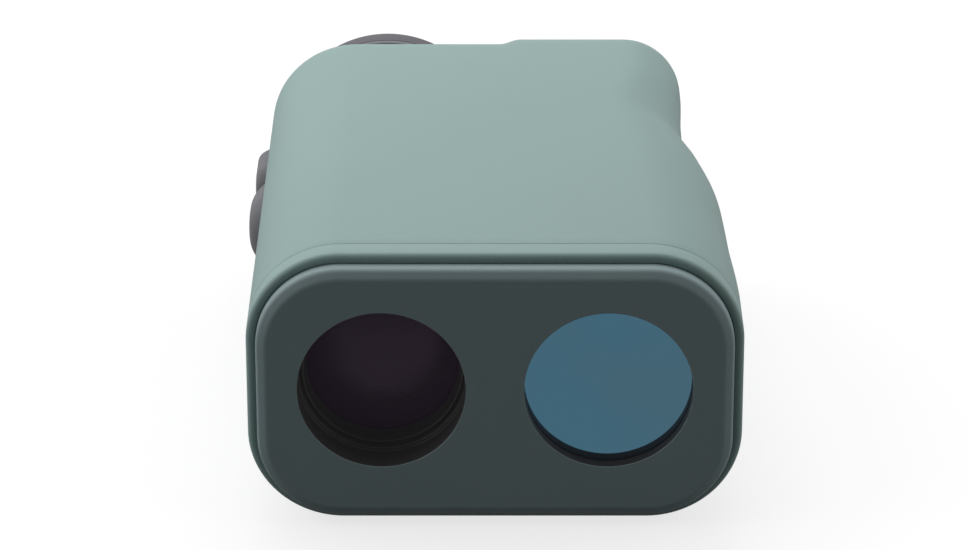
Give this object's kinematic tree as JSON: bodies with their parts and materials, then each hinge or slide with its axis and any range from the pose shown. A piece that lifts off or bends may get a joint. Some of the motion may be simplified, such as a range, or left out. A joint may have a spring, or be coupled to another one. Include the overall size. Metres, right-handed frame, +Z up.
{
  "type": "laser rangefinder",
  "caption": "Handheld monocular laser rangefinder with viewing and receiving lenses in front, a focusing eyepiece, top keys and a hinged rear battery door.",
  "frame": {"origin": "middle of the flat resting face, on the plane it lies on, halfway across its height and about halfway along its length", "axes": "+Z up from the resting face; -Y towards the objective end and +Y towards the eye; -X towards the side with the keys (up in use), +X towards the grip side"},
  "size_m": [0.076, 0.107, 0.0429],
  "materials": {
    "soft_touch_green": "satin soft-touch coat",
    "front_panel_green": "fine matte",
    "black_anodised": "matte black",
    "black_plastic": "matte",
    "key_rubber": "matte",
    "eyecup_rubber": "matte",
    "seal_rubber": "matte",
    "objective_glass": "purple coated",
    "window_glass": "blue coated",
    "optical_glass": "polished",
    "filter_glass": "polished",
    "circuit_board": "solder mask",
    "chip_black": "matte",
    "capacitor_sleeve": "sleeved can",
    "ribbon_amber": "satin film",
    "wire_red": "satin",
    "steel": "plated",
    "dark_steel": "black plated",
    "brass": "turned",
    "switch_plastic": "matte",
    "battery_can": "printed can"
  },
  "bodies": {
    "casing": {"left_side_shell": "soft_touch_green", "right_side_shell": "soft_touch_green", "front_bezel": "soft_touch_green", "front_panel": "front_panel_green", "front_gasket": "seal_rubber", "objective_barrel": "black_anodised", "objective_retaining_ring": "black_anodised", "objective_front_element": "objective_glass", "objective_rear_element": "optical_glass", "prism_housing": "black_plastic", "half_penta_prism": "optical_glass", "roof_prism": "optical_glass", "prism_clamp": "steel", "lcd_display": "window_glass", "field_stop": "black_plastic", "laser_diode_mount": "steel", "laser_diode": "brass", "receiver_barrel": "black_plastic", "receiver_window": "window_glass", "window_retaining_ring": "black_anodised", "receiver_lens": "optical_glass", "bandpass_filter": "filter_glass", "photodiode": "brass", "receiver_board": "circuit_board", "eyepiece_sleeve": "black_plastic", "diopter_seal": "seal_rubber", "measure_switch": "chip_black", "mode_switch": "chip_black", "button_board": "circuit_board", "keypad_seal": "seal_rubber", "main_board": "circuit_board", "microcontroller": "chip_black", "driver_shield": "steel", "pulse_capacitor": "capacitor_sleeve", "display_ribbon": "ribbon_amber", "battery_tube": "black_plastic", "battery_cell": "battery_can", "battery_front_contact": "brass", "battery_door_pin": "steel", "battery_door_gasket": "seal_rubber", "battery_lead": "wire_red", "tripod_insert": "brass", "housing_screw_1": "dark_steel", "housing_screw_2": "dark_steel", "housing_screw_3": "dark_steel"},
    "measure_button": {"measure_button": "key_rubber", "measure_plunger": "switch_plastic"},
    "mode_button": {"mode_button": "key_rubber", "mode_plunger": "switch_plastic"},
    "diopter_ring": {"diopter_ring": "key_rubber", "eyecup": "eyecup_rubber"},
    "eyepiece_cell": {"eyepiece_cell": "black_plastic", "field_lens": "optical_glass", "eye_lens": "optical_glass", "eyepiece_lens_retainer": "black_anodised"},
    "battery_door": {"battery_door": "soft_touch_green", "battery_spring": "steel"}
  },
  "joints": [
    {"name": "measure_press", "type": "slide", "parent": "casing", "child": "measure_button", "axis": [1, 0, 0], "range_m": [0, 0.0006]},
    {"name": "mode_press", "type": "slide", "parent": "casing", "child": "mode_button", "axis": [1, 0, 0], "range_m": [0, 0.0006]},
    {"name": "diopter_turn", "type": "hinge", "parent": "casing", "child": "diopter_ring", "pos_m": [-0.018, 0.052, 0.02145], "axis": [0, 1, 0], "range_deg": [-120, 120]},
    {"name": "eyepiece_focus", "type": "slide", "parent": "casing", "child": "eyepiece_cell", "axis": [0, 1, 0], "range_m": [-0.0015, 0.0015]},
    {"name": "door_swing", "type": "hinge", "parent": "casing", "child": "battery_door", "pos_m": [0.0049, 0.0478, 0.02145], "axis": [0, 0, 1], "range_deg": [0, 90]}
  ],
  "couplings": [
    {"joint": "eyepiece_focus", "follows": "diopter_turn", "m_per_rad": 0.000716}
  ]
}
